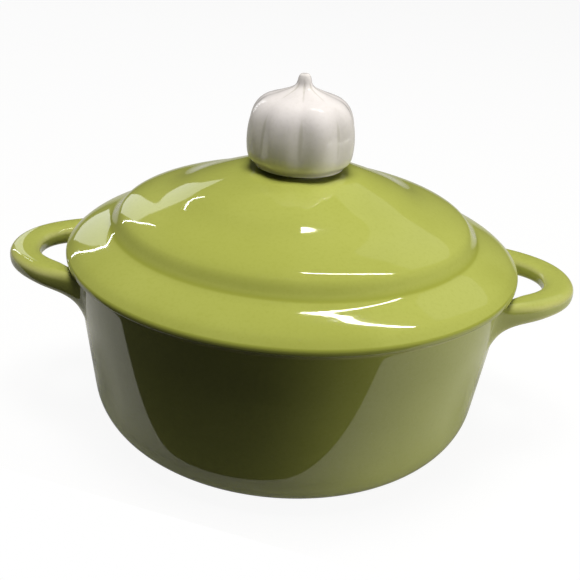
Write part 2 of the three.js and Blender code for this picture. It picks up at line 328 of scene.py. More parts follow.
def rounded(corners):
    """Places along an outline of (radius, height) corners; (radius, height, round, steps) is rounded."""
    places = []
    for index, corner in enumerate(corners):
        here = Vector(corner[:2])
        if len(corner) == 2:
            places.append(here)
            continue
        reach, steps = corner[2:]
        before = (Vector(corners[index - 1][:2]) - here).normalized()
        after = (Vector(corners[index + 1][:2]) - here).normalized()
        half = before.angle(after) / 2
        centre = here + (before + after).normalized() * reach / math.sin(half)
        start = here + before * reach / math.tan(half) - centre
        end = here + after * reach / math.tan(half) - centre
        first = math.atan2(start.y, start.x)
        turn = math.atan2(start.x * end.y - start.y * end.x, start.dot(end))
        for step in range(steps + 1):
            angle = first + turn * step / steps
            places.append(centre + Vector((math.cos(angle), math.sin(angle))) * reach)
    return places


def divided(places, longest):
    """The same outline with no step longer than this, so that the turned faces are even."""
    places = [Vector(place) for place in places]
    even = places[:1]
    for here, there in zip(places, places[1:]):
        steps = max(1, math.ceil((there - here).length / longest))
        even += [here.lerp(there, step / steps) for step in range(1, steps + 1)]
    return even


def curve_through(places, steps):
    """A smooth outline through the places, with this many steps between two of them."""
    places = [Vector(place) for place in places]
    ends = [2 * places[0] - places[1], *places, 2 * places[-1] - places[-2]]
    line = places[:1]
    for a, b, c, d in zip(ends, ends[1:], ends[2:], ends[3:]):
        for step in range(1, steps + 1):
            t = step / steps
            bend = (2 * a - 5 * b + 4 * c - d) * t**2
            twist = (3 * b - a - 3 * c + d) * t**3
            line.append(0.5 * (2 * b + (c - a) * t + bend + twist))
    return line


def turned(name, outline, steps):
    """Draws an outline of (radius, height) places point by point and spins it about the Z axis."""
    clear_selection()
    bpy.ops.mesh.primitive_plane_add(size=WELD, location=(0, 0, 0))
    piece = begin(name)
    bpy.ops.mesh.merge(type="CENTER")
    pen = Vector((outline[0].x, 0, outline[0].y))
    bpy.ops.transform.translate(value=pen)
    for place in outline[1:]:
        there = Vector((place.x, 0, place.y))
        bpy.ops.mesh.extrude_region_move(TRANSFORM_OT_translate={"value": there - pen})
        pen = there
    bpy.ops.mesh.select_all(action="SELECT")
    bpy.ops.mesh.remove_doubles(threshold=WELD)
    bpy.ops.mesh.select_all(action="SELECT")
    bpy.ops.mesh.spin(steps=steps, angle=2 * math.pi, center=(0, 0, 0), axis=(0, 0, 1))
    bpy.ops.mesh.select_all(action="SELECT")
    bpy.ops.mesh.remove_doubles(threshold=WELD)
    bpy.ops.mesh.normals_make_consistent(inside=False)
    bpy.ops.object.mode_set(mode="OBJECT")
    return piece


def mark_edges(piece):
    """Keeps how sharply each place bulges out (above 0) or in (below 0), where glaze thins or pools and
    where the lid's lip takes painted shade.
    """
    mesh = bmesh.new()
    mesh.from_mesh(piece.data)
    mesh.normal_update()
    bulge = []
    for vertex in mesh.verts:
        total = 0.0
        for edge in vertex.link_edges:
            away = vertex.co - edge.other_vert(vertex).co
            total += 2 * away.dot(vertex.normal) / max(away.length_squared, 1e-12)
        bulge.append(math.tanh(total / max(len(vertex.link_edges), 1) * EDGE_SPAN))
    mesh.free()
    layer = piece.data.attributes.new("glaze_edge", "FLOAT", "POINT")
    layer.data.foreach_set("value", bulge)


def hand_over(piece, body, slot, finish, *nodes):
    """Gives the piece its finish, ties it to its body and hides the solids that it stands for; the slot is
    not used.
    """
    clear_selection()
    piece.data.materials.clear()
    piece.data.materials.append(finish)
    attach(piece, body)
    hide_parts(*nodes)


def wall_radius(sizes, height):
    """Outside of the straight wall at a height above the table."""
    return sizes.rim_radius - sizes.taper * (1 - height / sizes.height)


def lid_top(sizes, radius):
    """Height and slope of the lid's top at a radius, on a smooth curve through its outline."""
    share = radius / sizes.radius
    rise = sizes.top - sizes.base
    inner = max(1, next(i for i, place in enumerate(LID_OUTLINE) if place[0] <= share + 1e-9))
    r0, h0, s0 = LID_OUTLINE[inner]
    r1, h1, s1 = LID_OUTLINE[inner - 1]
    span = r1 - r0
    t = (share - r0) / span
    height = h0 * (1 + 2 * t) * (1 - t) ** 2 + h1 * t * t * (3 - 2 * t)
    height += span * t * (1 - t) * (s0 * (1 - t) - s1 * t)
    slope = 6 * t * (1 - t) * (h1 - h0) / span + s0 * (1 - t) * (1 - 3 * t) + s1 * t * (3 * t - 2)
    return sizes.base + height * rise, slope * rise / sizes.radius


def lid_under(sizes, radius):
    """Height of the lid's underside: the top less the thickness square to it."""
    if radius < LID_OUTLINE[-1][0] * sizes.radius:
        return sizes.top - sizes.thickness
    height, slope = lid_top(sizes, radius)
    return height - sizes.thickness * math.hypot(1, slope)


# Finishes


def new_node(tree, kind, place, **settings):
    """Adds a node at a place in the tree, with these settings."""
    made = tree.nodes.new(kind)
    made.location = place
    for name, value in settings.items():
        setattr(made, name, value)
    return made


def fill(made, **values):
    """Sets inputs of a node by name, with _ for a space."""
    for name, value in values.items():
        made.inputs[name.replace("_", " ")].default_value = value


def bare_tree(made):
    """The emptied node tree of a material or a world."""
    made.use_nodes = True
    made.node_tree.nodes.clear()
    return made.node_tree


def feed(tree, sockets, values):
    """Links each input to the output given for it, or sets it to the plain value."""
    for socket, value in zip(sockets, values):
        if isinstance(value, bpy.types.NodeSocket):
            tree.links.new(value, socket)
        else:
            socket.default_value = value


def maths(tree, operation, place, first, second):
    """One sum on two values."""
    made = new_node(tree, "ShaderNodeMath", place, operation=operation)
    feed(tree, made.inputs, (first, second))
    return made.outputs[0]


def scaled(tree, place, value, share):
    """A share of a value."""
    return maths(tree, "MULTIPLY", place, value, share)


def between(tree, place, value, low, high):
    """0 below low, 1 above high and a soft step between them."""
    made = new_node(tree, "ShaderNodeMapRange", place, interpolation_type="SMOOTHSTEP")
    fill(made, From_Min=low, From_Max=high)
    tree.links.new(value, made.inputs["Value"])
    return made.outputs["Result"]


def mixed(tree, place, share, first, second):
    """Two colours mixed by a share."""
    made = new_node(tree, "ShaderNodeMix", place, data_type="RGBA")
    feed(tree, (made.inputs[0], made.inputs[6], made.inputs[7]), (share, first, second))
    return made.outputs[2]


def noise(tree, place, where, scale, detail):
    """Cloudy noise from 0 to 1."""
    made = new_node(tree, "ShaderNodeTexNoise", place)
    fill(made, Scale=scale, Detail=detail, Roughness=0.5)
    tree.links.new(where, made.inputs["Vector"])
    return made.outputs["Fac"]


def blend(tree, share, first, second, output):
    """Mixes two shaders by a share and sends them to an output of this kind."""
    mix = new_node(tree, "ShaderNodeMixShader", (350, 0))
    feed(tree, mix.inputs, (share, first.outputs[0], second.outputs[0]))
    end = new_node(tree, output, (600, 0))
    tree.links.new(mix.outputs[0], end.inputs["Surface"])


def new_group(name, inputs, outputs):
    """An empty shader group with these inputs and outputs."""
    tree = bpy.data.node_groups.new(name, "ShaderNodeTree")
    for label, kind in inputs:
        tree.interface.new_socket(label, in_out="INPUT", socket_type="NodeSocket" + kind)
    for label, kind in outputs:
        tree.interface.new_socket(label, in_out="OUTPUT", socket_type="NodeSocket" + kind)
    entry = new_node(tree, "NodeGroupInput", (-900, 0))
    result = new_node(tree, "NodeGroupOutput", (900, 0))
    return tree, entry.outputs, result.inputs


def glaze_group():
    """Glaze that thins over edges, pools in hollows, drifts in tone and lies in slow waves; where a dark
    colour is given for the thin edges, as on the lid, those edges take painted shade.
    """
    if "Glaze Flow" in bpy.data.node_groups:
        return bpy.data.node_groups["Glaze Flow"]
    tree, given, result = new_group(
        "Glaze Flow",
        (("Body", "Color"), ("Thin", "Color"), ("Pool", "Color")),
        (("Colour", "Color"), ("Roughness", "Float"), ("Height", "Float")),
    )
    where = new_node(tree, "ShaderNodeTexCoord", (-900, -300)).outputs["Object"]
    edge = new_node(tree, "ShaderNodeAttribute", (-900, 300), attribute_name="glaze_edge").outputs["Fac"]
    drift = noise(tree, (-700, 100), where, scale=17, detail=2)
    grain = noise(tree, (-700, -100), where, scale=620, detail=2)
    specks = noise(tree, (-700, -300), where, scale=1500, detail=1)
    waves = noise(tree, (-700, -500), where, scale=24, detail=1)
    peel = noise(tree, (-700, -700), where, scale=210, detail=1)
    # Bulging edges take the thin colour: paler where glaze breaks over them, and painted shade on the lid,
    # whose thin colour is the pooled green.
    thin_glaze_and_lip_shade = between(tree, (-500, 400), edge, low=0.3, high=0.95)
    hollow = scaled(tree, (-600, 260), edge, share=-1.0)
    pool = between(tree, (-500, 200), hollow, low=0.05, high=0.4)
    deep = scaled(tree, (-300, 200), between(tree, (-500, 50), drift, low=0.4, high=0.68), share=0.3)
    deep = maths(tree, "MAXIMUM", (-150, 200), deep, scaled(tree, (-300, 320), pool, share=0.8))
    tone = mixed(tree, (0, 200), deep, given["Body"], given["Pool"])
    tone = mixed(tree, (180, 200), scaled(tree, (0, 380), thin_glaze_and_lip_shade, share=0.75), tone, given["Thin"])
    mottle = scaled(tree, (0, -60), between(tree, (-300, -60), grain, low=0.45, high=0.72), share=0.16)
    tone = mixed(tree, (360, 200), mottle, tone, given["Pool"])
    dots = scaled(tree, (180, -60), between(tree, (-300, -240), specks, low=0.69, high=0.78), share=0.35)
    tone = mixed(tree, (540, 200), dots, tone, given["Thin"])
    gloss = scaled(tree, (180, -250), between(tree, (-300, -420), grain, low=0.3, high=0.8), share=0.035)
    gloss = maths(tree, "ADD", (360, -250), gloss, GLAZE_ROUGHNESS)
    height = maths(tree, "ADD", (180, -450), scaled(tree, (0, -450), peel, share=0.035), waves)
    tree.links.new(tone, result["Colour"])
    tree.links.new(gloss, result["Roughness"])
    tree.links.new(height, result["Height"])
    return tree


def metal_group():
    """Fine turning marks and dulled patches on a small metal piece."""
    if "Turned Metal" in bpy.data.node_groups:
        return bpy.data.node_groups["Turned Metal"]
    tree, given, result = new_group(
        "Turned Metal",
        (("Bright", "Color"),),
        (("Colour", "Color"), ("Roughness", "Float"), ("Height", "Float")),
    )
    where = new_node(tree, "ShaderNodeTexCoord", (-900, -300)).outputs["Object"]
    rings = new_node(tree, "ShaderNodeTexWave", (-500, -300), wave_type="RINGS", rings_direction="Z")
    fill(rings, Scale=1400, Distortion=0.6, Detail=1)
    tree.links.new(where, rings.inputs["Vector"])
    cloud = noise(tree, (-500, 100), where, scale=260, detail=3)
    cloud = between(tree, (-300, 100), cloud, low=0.35, high=0.7)
    dull = mixed(tree, (0, 200), scaled(tree, (-150, 150), cloud, share=0.35), given["Bright"], DULL_METAL)
    rough = maths(tree, "ADD", (0, -100), scaled(tree, (-150, -100), cloud, share=0.2), METAL_ROUGHNESS)
    tree.links.new(dull, result["Colour"])
    tree.links.new(rough, result["Roughness"])
    tree.links.new(rings.outputs["Fac"], result["Height"])
    return tree


def start_finish(name, group, depth):
    """A material whose colour, roughness and bump come from a group; depth is the bump's height."""
    made = bpy.data.materials.new(name)
    tree = bare_tree(made)
    output = new_node(tree, "ShaderNodeOutputMaterial", (700, 0))
    surface = new_node(tree, "ShaderNodeBsdfPrincipled", (400, 0))
    flow = new_node(tree, "ShaderNodeGroup", (-300, 0), node_tree=group)
    bump = new_node(tree, "ShaderNodeBump", (150, -250))
    fill(bump, Strength=1.0, Distance=depth)
    tree.links.new(flow.outputs["Colour"], surface.inputs["Base Color"])
    tree.links.new(flow.outputs["Roughness"], surface.inputs["Roughness"])
    tree.links.new(flow.outputs["Height"], bump.inputs["Height"])
    tree.links.new(bump.outputs["Normal"], surface.inputs["Normal"])
    tree.links.new(surface.outputs["BSDF"], output.inputs["Surface"])
    return made, flow, surface


def glaze_finish(name, body, thin_glaze_and_lip_shade, pool, waviness):
    """Glossy glaze over stoneware."""
    made, flow, surface = start_finish(name, glaze_group(), waviness)
    fill(flow, Body=body, Thin=thin_glaze_and_lip_shade, Pool=pool)
    fill(surface, IOR=GLAZE_IOR)
    return made


def foot_finish(name, finishes):
    """The green glaze, wiped off the foot ring down to the bare clay."""
    made = glaze_finish(name, finishes.green, finishes.green_thin, finishes.green_pool_and_lip_shade, waviness=0.05 * MM)
    tree = made.node_tree
    flow, surface = (
        next(node for node in tree.nodes if node.type == kind) for kind in ("GROUP", "BSDF_PRINCIPLED")
    )
    where = new_node(tree, "ShaderNodeTexCoord", (-900, -400)).outputs["Object"]
    split = new_node(tree, "ShaderNodeSeparateXYZ", (-700, -400))
    tree.links.new(where, split.inputs[0])
    ragged = noise(tree, (-700, -550), where, scale=160, detail=2)
    ragged = scaled(tree, (-500, -550), ragged, share=0.8 * MM)
    level = maths(tree, "SUBTRACT", (-350, -400), split.outputs["Z"], ragged)
    glazed = between(tree, (-150, -400), level, low=0.15 * MM, high=0.35 * MM)
    sand = noise(tree, (-700, -750), where, scale=900, detail=3)
    sand = between(tree, (-500, -750), sand, low=0.3, high=0.7)
    clay = mixed(tree, (-150, -650), sand, finishes.clay, SANDY_CLAY)
    tone = mixed(tree, (100, 150), glazed, clay, flow.outputs["Colour"])
    tree.links.new(tone, surface.inputs["Base Color"])
    bare = maths(tree, "SUBTRACT", (0, -450), 1.0, glazed)
    rough = scaled(tree, (150, -450), bare, share=CLAY_ROUGHNESS)
    rough = maths(tree, "MAXIMUM", (250, -350), rough, flow.outputs["Roughness"])
    tree.links.new(rough, surface.inputs["Roughness"])
    return made


def metal_finish(name, bright):
    """Plain turned metal."""
    made, flow, surface = start_finish(name, metal_group(), depth=0.01 * MM)
    fill(flow, Bright=bright)
    fill(surface, Metallic=1.0)
    return made


def seal_finish(name, tone):
    """Soft milky silicone."""
    made, flow, surface = start_finish(name, glaze_group(), depth=0.02 * MM)
    fill(flow, Body=tone, Thin=SEAL_EDGE, Pool=SEAL_SHADE)
    tree = made.node_tree
    where = new_node(tree, "ShaderNodeTexCoord", (-900, -300)).outputs["Object"]
    rough = noise(tree, (-700, -300), where, scale=500, detail=2)
    rough = between(tree, (-500, -300), rough, low=0.0, high=1.6)
    rough = maths(tree, "ADD", (-100, -300), rough, SEAL_ROUGHNESS)
    tree.links.new(rough, surface.inputs["Roughness"])
    return made


# Pieces


class BAKINGDISH_OT_dish(bpy.types.Operator):
    """Model the dish: a tapered bowl with a round base, a rounded rim and a bare foot ring"""

    bl_idname = "bakingdish.dish"
    bl_label = "Dish"

    def execute(self, context):
        sizes = context.scene.dish_sizes
        base = wall_radius(sizes, 0)
        lean = math.atan(sizes.taper / sizes.height)
        flat = base - sizes.corner / math.tan((math.pi / 2 + lean) / 2)
        foot = flat - sizes.foot_width
        inside = wall_radius(sizes, sizes.floor) - sizes.wall
        foot_arc, rim_arc, corner_arc, inside_arc = 4, 7, 14, 12
        outline = rounded(
            (
                (0, sizes.foot_depth),
                (foot - sizes.foot_depth, sizes.foot_depth, sizes.foot_round, foot_arc),
                (foot, 0, sizes.foot_round, foot_arc),
                (base, 0, sizes.corner, corner_arc),
                (sizes.rim_radius, sizes.height, sizes.rim_round, rim_arc),
                (sizes.rim_radius - sizes.wall, sizes.height, sizes.rim_round, rim_arc),
                (inside, sizes.floor, sizes.corner - sizes.wall, inside_arc),
                (0, sizes.floor),
            )
        )
        piece = turned("dish", divided(outline, DISH_STEP), DISH_FACES)
        smooth(piece, levels=1)
        mark_edges(piece)
        finishes = context.scene.dish_finishes
        hand_over(piece, "dish", "green_glaze", foot_finish("dish_glaze", finishes), "dish_body")
        return {"FINISHED"}


class BAKINGDISH_OT_handles(bpy.types.Operator):
    """Model one ear handle, smooth its roots out over the wall, and copy it to the other side"""

    bl_idname = "bakingdish.handles"
    bl_label = "Ear handles"

    def execute(self, context):
        sizes = context.scene.handle_sizes
        dish = context.scene.dish_sizes
        level = dish.height - sizes.drop
        line = self.draw_line(sizes, dish)
        run = self.line_length(line)
        start = self.leaves_wall(line, wall_radius(dish, level))
        piece = self.draw_bar(sizes, run, start, level)
        finish_with(piece, "CURVE", object=line, deform_axis="POS_X")
        self.smooth_roots(piece, dish)
        smooth(piece, levels=2)
        bpy.data.objects.remove(line)

        choose(piece)
        bpy.ops.object.duplicate()
        other = begin("left_ear")
        bpy.ops.transform.rotate(value=math.pi, orient_axis="Z", center_override=(0, 0, 0))
        finishes = context.scene.dish_finishes
        finish = glaze_finish(
            "ear_glaze", finishes.green, finishes.green_thin, finishes.green_pool_and_lip_shade, waviness=0.04 * MM
        )
        for ear, node in ((piece, "right_handle"), (other, "left_handle")):
            clear_selection()
            mark_edges(ear)
            hand_over(ear, "dish", "green_glaze", finish, node)
        return {"FINISHED"}

    def draw_line(self, sizes, dish):
        """The bar's middle line, seen from above, as a curve from root to root."""
        clear_selection()
        bpy.ops.curve.primitive_bezier_curve_add(location=(0, 0, 0))
        line = bpy.context.object
        line.data.resolution_u = 64
        line.data.twist_mode = "Z_UP"
        spline = line.data.splines[0]
        spline.bezier_points.add(1)
        root = dish.rim_radius - sizes.root_inset
        bend = dish.rim_radius + sizes.bend_out
        tip = dish.rim_radius + sizes.reach
        side, corner = sizes.root_offset, sizes.corner_offset
        neck = sizes.root_offset - sizes.bend_in
        places = (
            ((root, -side), (root, -side), (bend, -neck)),
            ((tip, 0), (tip, -corner), (tip, corner)),
            ((root, side), (bend, neck), (root, side)),
        )
        for knot, (place, before, after) in zip(spline.bezier_points, places):
            knot.handle_left_type = knot.handle_right_type = "FREE"
            knot.co = (*place, 0)
            knot.handle_left = (*before, 0)
            knot.handle_right = (*after, 0)
        return line

    def places_on(self, line):
        """Places along the middle line, close together."""
        knots = line.data.splines[0].bezier_points
        steps = 200
        for first, last in zip(knots, knots[1:]):
            for step in range(steps):
                t = step / steps
                yield (
                    first.co * (1 - t) ** 3
                    + first.handle_right * 3 * t * (1 - t) ** 2
                    + last.handle_left * 3 * t * t * (1 - t)
                    + last.co * t**3
                )
        yield knots[-1].co.copy()

    def line_length(self, line):
        """Length of the middle line from root to root."""
        places = list(self.places_on(line))
        return sum((b - a).length for a, b in zip(places, places[1:]))

    def leaves_wall(self, line, radius):
        """How far along the middle line the wall's surface lies."""
        places = list(self.places_on(line))
        run = 0.0
        for here, there in zip(places, places[1:]):
            if there.length > radius:
                return run
            run += (there - here).length
        raise RuntimeError("the handle's middle line never leaves the wall")

    def ring_name(self, away):
        """Name of the points in a ring this far from the wall."""
        return "root %.2f" % (away / MM)

    def draw_bar(self, sizes, run, start, level):
        """A straight rounded bar along X, ring by ring, deeper and wider towards its ends."""
        stations = [(start + away, extra) for away, extra, _ in ROOT_RINGS]
        inner, outer = stations[-1][0], run - stations[-1][0]
        stations += [(inner + (outer - inner) * step / BAR_RINGS, 0) for step in range(1, BAR_RINGS)]
        stations += [(run - start - away, extra) for away, extra, _ in reversed(ROOT_RINGS)]

        clear_selection()
        bpy.ops.mesh.primitive_plane_add(size=1, location=(0, 0, 0))
        piece = begin("right_ear")
        bpy.ops.mesh.bevel(offset=BAR_ROUND, segments=4, affect="VERTICES")
        bpy.ops.transform.rotate(value=math.pi / 2, orient_axis="Y", center_override=(0, 0, 0))
        before = None
        for along, extra in stations:
            flare = abs(2 * along / run - 1) ** ROOT_FLARE
            width = sizes.bar_width + sizes.root_spread * flare + FILLET_SIDES * sizes.fillet * extra
            half = sizes.bar_thickness / 2
            top = half + FILLET_TOP * sizes.fillet * extra
            bottom = half + sizes.root_depth * flare + FILLET_UNDER * sizes.fillet * extra
            depth = top + bottom
            middle = level + (top - bottom) / 2
            if before is None:
                bpy.ops.transform.resize(value=(1, width, depth), center_override=(0, 0, 0))
                bpy.ops.transform.translate(value=(along, 0, middle))
            else:
                last_along, last_width, last_depth, last_middle = before
                move = (along - last_along, 0, middle - last_middle)
                bpy.ops.mesh.extrude_region_move(TRANSFORM_OT_translate={"value": move})
                grow = (1, width / last_width, depth / last_depth)
                bpy.ops.transform.resize(value=grow, center_override=(along, 0, middle))
            before = (along, width, depth, middle)
        bpy.ops.mesh.select_all(action="SELECT")
        bpy.ops.mesh.remove_doubles(threshold=WELD)
        bpy.ops.mesh.normals_make_consistent(inside=False)
        bpy.ops.object.mode_set(mode="OBJECT")
        for away, _, share in ROOT_RINGS:
            ring = piece.vertex_groups.new(name=self.ring_name(away))
            for vertex in piece.data.vertices:
                gap = min(vertex.co.x, run - vertex.co.x) - start
                if abs(gap - away) < 10 * WELD:
                    ring.add([vertex.index], share, "REPLACE")
        return piece

    def smooth_roots(self, piece, dish):
        """Turns the bar's end rings to the wall, lays the last ones on it and sinks the end into it."""
        upright = ((wall_radius(dish, 0), 0), (dish.rim_radius, dish.height))
        wall = turned("wall_guide", divided(upright, GUIDE_STEP), GUIDE_FACES)
        for away, _, _ in ROOT_RINGS:
            finish_with(
                piece,
                "SHRINKWRAP",
                target=wall,
                wrap_method="NEAREST_SURFACEPOINT",
                wrap_mode="ABOVE_SURFACE",
                offset=ROOT_LIFT * away,
                vertex_group=self.ring_name(away),
            )
        bpy.data.objects.remove(wall)
        choose(piece)
        bpy.ops.object.mode_set(mode="EDIT")
        touching = 0.05 * MM
        pick(piece, lambda co: co.xy.length < wall_radius(dish, co.z) + touching)
        shrink = 1 - ROOT_SINK / dish.rim_radius
        bpy.ops.transform.resize(value=(shrink, shrink, 1), center_override=(0, 0, 0))
        bpy.ops.mesh.select_mode(type="EDGE")
        bpy.ops.transform.edge_crease(value=ROOT_CREASE)
        bpy.ops.object.mode_set(mode="OBJECT")


class BAKINGDISH_OT_lid(bpy.types.Operator):
    """Model the lid: a stepped dome with an overhanging brim and a locating ring below"""

    bl_idname = "bakingdish.lid"
    bl_label = "Lid"

    def execute(self, context):
        sizes = context.scene.lid_sizes
        dish = context.scene.dish_sizes
        depth = sizes.base - sizes.ring_foot
        ring_outer = dish.rim_radius - dish.wall - dish.taper / dish.height * depth - sizes.ring_clearance
        ring_inner = ring_outer - sizes.ring_width
        dome_edge = ring_inner - sizes.ring_round
        brim_end = LID_OUTLINE[0][0] * sizes.radius
        brim_height, brim_slope = lid_top(sizes, brim_end)
        brim_edge = sizes.radius - BRIM_INSET
        brim_lip = brim_height + (brim_edge - brim_end) * brim_slope
        seat = LID_OUTLINE[-1][0] * sizes.radius

        top_steps, under_steps, arc = 5, 24, 6
        top = []
        for outer, inner in zip(LID_OUTLINE, LID_OUTLINE[1:]):
            for step in range(top_steps):
                radius = sizes.radius * (outer[0] + (inner[0] - outer[0]) * step / top_steps)
                top.append((radius, lid_top(sizes, radius)[0]))
        under = []
        for step in range(under_steps + 1):
            radius = sizes.boss + (dome_edge - sizes.boss) * step / under_steps
            under.append((radius, lid_under(sizes, radius)))
        edge = rounded(
            (
                under[-1],
                (ring_inner, sizes.ring_foot, sizes.ring_round, arc),
                (ring_outer, sizes.ring_foot, sizes.ring_round, arc),
                (ring_outer, sizes.base, RING_FILLET, arc // 2),
                (brim_edge, sizes.base, BRIM_LOWER * sizes.brim_round, arc),
                (brim_edge, brim_lip, BRIM_UPPER * sizes.brim_round, arc),
                top[0],
            )
        )
        under_seat = sizes.top - sizes.thickness
        outline = [
            (sizes.bore, under_seat),
            *under,
            *edge[1:-1],
            *top,
            (seat, sizes.top),
            (sizes.bore + BORE_CHAMFER, sizes.top),
            (sizes.bore, sizes.top - BORE_CHAMFER),
            (sizes.bore, under_seat),
        ]
        piece = turned("lid", divided(outline, LID_STEP), DISH_FACES)
        smooth(piece, levels=1)
        mark_edges(piece)
        finishes = context.scene.dish_finishes
        # On the lid the pooled green goes on the bulging edges, the brim's lip most: painted shade that
        # darkens the lip.
        finish = glaze_finish(
            "lid_glaze", finishes.green, finishes.green_pool_and_lip_shade, finishes.green_pool_and_lip_shade, waviness=0.05 * MM
        )
        hand_over(piece, "lid", "green_glaze", finish, "lid_shell")
        return {"FINISHED"}


class BAKINGDISH_OT_knob(bpy.types.Operator):
    """Model the garlic bulb: turn it, press the creases in between its cloves and smooth it"""

    bl_idname = "bakingdish.knob"
    bl_label = "Garlic knob"

    def execute(self, context):
        sizes = context.scene.knob_sizes
        base = [(sizes.base_radius + past, height) for past, height in BULB_BASE]
        places = [
            base[-1],
            *((radius * sizes.radius, height * sizes.height) for radius, height in BULB_OUTLINE),
            (sizes.stalk, sizes.height - sizes.stalk / 2),
        ]
        bulb = curve_through(places, steps=4)
        outline = [
            (0, sizes.hole_depth),
            (sizes.hole - HOLE_CHAMFER, sizes.hole_depth),
            (sizes.hole, sizes.hole_depth - HOLE_CHAMFER),
            (sizes.hole, HOLE_CHAMFER),
            (sizes.hole + HOLE_CHAMFER, 0),
            *base[:-1],
            *bulb,
            *((share * sizes.stalk, sizes.height - depth) for share, depth in STALK_TIP),
        ]
        piece = turned("garlic", divided(outline, KNOB_STEP), sizes.cloves * CLOVE_FACES)
        bpy.ops.object.mode_set(mode="EDIT")
        rows = sorted({round(place.y, 7) for place in bulb})
        for height in rows:
            rise = height / sizes.height
            fade = math.sin(math.pi * min(1.0, max(0.0, rise / CREASE_TOP)))
            fade = fade**FADE_BELOW if rise < CREASE_MIDDLE else fade**FADE_ABOVE
            for offset, share in enumerate(CREASE_SHAPE):
                radius = self.pick_row(piece, sizes, height, offset)
                factor = 1 - sizes.crease * fade * share / radius
                bpy.ops.transform.resize(value=(factor, factor, 1), center_override=(0, 0, height))
        bpy.ops.mesh.select_all(action="SELECT")
        bpy.ops.transform.translate(value=(0, 0, sizes.base))
        bpy.ops.object.mode_set(mode="OBJECT")
        smooth(piece, levels=2)
        mark_edges(piece)
        finishes = context.scene.dish_finishes
        finish = glaze_finish(
            "garlic_glaze", finishes.white, finishes.white_thin, finishes.white_pool, waviness=0.05 * MM
        )
        hand_over(piece, "lid", "white_glaze", finish, "garlic_knob")
        return {"FINISHED"}

    def pick_row(self, piece, sizes, height, offset):
        """Selects one row of points this many columns from the creases, and returns its radius."""
        pitch = 2 * math.pi / (sizes.cloves * CLOVE_FACES)
        found = []

        def chosen(co):
            if abs(co.z - height) > 5 * WELD or co.xy.length < 0.9 * sizes.stalk:
                return False
            column = round(math.atan2(co.y, co.x) / pitch) % CLOVE_FACES
            if min(column, CLOVE_FACES - column) != offset:
                return False
            found.append(co.xy.length)
            return True

        pick(piece, chosen)
        if not found:
            raise RuntimeError("no points of the bulb lie at height %.4f" % height)
        return found[0]


class BAKINGDISH_OT_fixing(bpy.types.Operator):
    """Model the seal, washer and slotted screw that hold the knob, and finish the insert"""

    bl_idname = "bakingdish.fixing"
    bl_label = "Knob fixing"

    def execute(self, context):
        sizes = context.scene.knob_sizes
        lid = context.scene.lid_sizes
        finishes = context.scene.dish_finishes
        steel = metal_finish("screw_metal", finishes.steel)
        seal = self.ring("soft_seal", lid.bore, sizes.seal_radius, SEAL_LOW.z, SEAL_HIGH.z)
        hand_over(seal, "lid", "seal_silicone", seal_finish("seal_soft", finishes.silicone), "knob_seal")
        washer = self.ring("washer", lid.bore, sizes.washer_radius, WASHER_LOW.z, WASHER_HIGH.z)
        hand_over(washer, "lid", "screw_steel", steel, "screw_washer")
        screw = self.screw(sizes)
        hand_over(screw, "lid", "screw_steel", steel, "knob_screw")
        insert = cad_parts["knob_insert"]
        insert.data.materials.clear()
        insert.data.materials.append(metal_finish("insert_metal", finishes.brass))
        return {"FINISHED"}

    def ring(self, name, inner, outer, low, high):
        """A flat ring with rounded edges."""
        soft, arc = (high - low) * 0.3, 4
        middle = (inner + (outer - inner) / 2, low)
        corners = ((outer, low), (outer, high), (inner, high), (inner, low))
        outline = rounded((middle, *((*corner, soft, arc) for corner in corners), middle))
        piece = turned(name, outline, RING_FACES)
        choose(piece)
        bpy.ops.object.shade_smooth_by_angle(angle=math.radians(40))
        mark_edges(piece)
        return piece

    def screw(self, sizes):
        """A pan head with a slot, and a shank with a chamfered tip."""
        low, top = SCREW_LOW.z, SCREW_HIGH.z
        seat = low + sizes.screw_head_height
        head_round, edge_round, tip_chamfer = 1.0 * MM, 0.2 * MM, 0.6 * MM
        outline = rounded(
            (
                (0, low),
                (sizes.screw_head, low, head_round, 5),
                (sizes.screw_head, seat, edge_round, 2),
                (sizes.screw, seat, edge_round, 2),
                (sizes.screw, top, tip_chamfer, 1),
                (0, top),
            )
        )
        piece = turned("screw", outline, SCREW_FACES)
        clear_selection()
        bpy.ops.mesh.primitive_cube_add(size=1, location=(0, 0, 0))
        slot = begin("slot_cutter")
        bpy.ops.transform.resize(
            value=(4 * sizes.screw_head, sizes.slot_width, 2 * sizes.slot_depth), center_override=(0, 0, 0)
        )
        bpy.ops.transform.translate(value=(0, 0, low))
        bpy.ops.object.mode_set(mode="OBJECT")
        finish_with(piece, "BOOLEAN", object=slot, operation="DIFFERENCE", solver="EXACT")
        bpy.data.objects.remove(slot)
        bpy.ops.object.shade_smooth_by_angle(angle=math.radians(35))
        mark_edges(piece)
        return piece


# Studio


